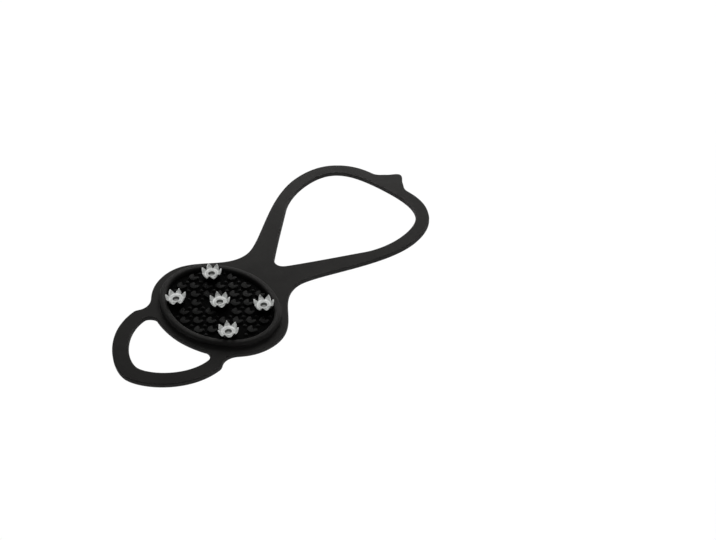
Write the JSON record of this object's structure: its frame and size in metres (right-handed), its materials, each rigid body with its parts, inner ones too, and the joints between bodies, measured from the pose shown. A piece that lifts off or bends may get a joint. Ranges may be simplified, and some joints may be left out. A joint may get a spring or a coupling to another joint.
{
  "type": "ice cleat",
  "caption": "Stretch-on ice cleat: elastomer band with a toe loop, an oval treaded sole pad carrying riveted toothed steel crowns, and a heel loop with a pull tab.",
  "frame": {"origin": "middle of the sole pad on the face that lies against the shoe's sole", "axes": "+X across the foot, +Y from toe to heel, +Z out of the face that carries the crowns"},
  "size_m": [0.0856, 0.21, 0.008],
  "materials": {
    "band_rubber": "matte",
    "tread_rubber": "matte",
    "crown_steel": "bright zinc",
    "rivet_steel": "satin zinc",
    "washer_steel": "satin zinc"
  },
  "bodies": {
    "sole": {"sole_band": "band_rubber", "tread_pad": "tread_rubber", "crown_centre": "crown_steel", "crown_toe_left": "crown_steel", "crown_toe_right": "crown_steel", "crown_heel_left": "crown_steel", "crown_heel_right": "crown_steel", "rivet_centre": "rivet_steel", "rivet_toe_left": "rivet_steel", "rivet_toe_right": "rivet_steel", "rivet_heel_left": "rivet_steel", "rivet_heel_right": "rivet_steel", "washer_centre": "washer_steel", "washer_toe_left": "washer_steel", "washer_toe_right": "washer_steel", "washer_heel_left": "washer_steel", "washer_heel_right": "washer_steel"},
    "toe_loop": {"toe_loop": "band_rubber"},
    "heel_loop": {"heel_loop": "band_rubber"}
  },
  "joints": [
    {"name": "toe_loop_fold", "type": "hinge", "parent": "sole", "child": "toe_loop", "pos_m": [0, -0.031, 0], "axis": [1, 0, 0], "range_deg": [0, 115], "stiffness_Nm_per_rad": 0.02},
    {"name": "heel_loop_fold", "type": "hinge", "parent": "sole", "child": "heel_loop", "pos_m": [0, 0.038, 0], "axis": [-1, 0, 0], "range_deg": [0, 110], "stiffness_Nm_per_rad": 0.05}
  ]
}
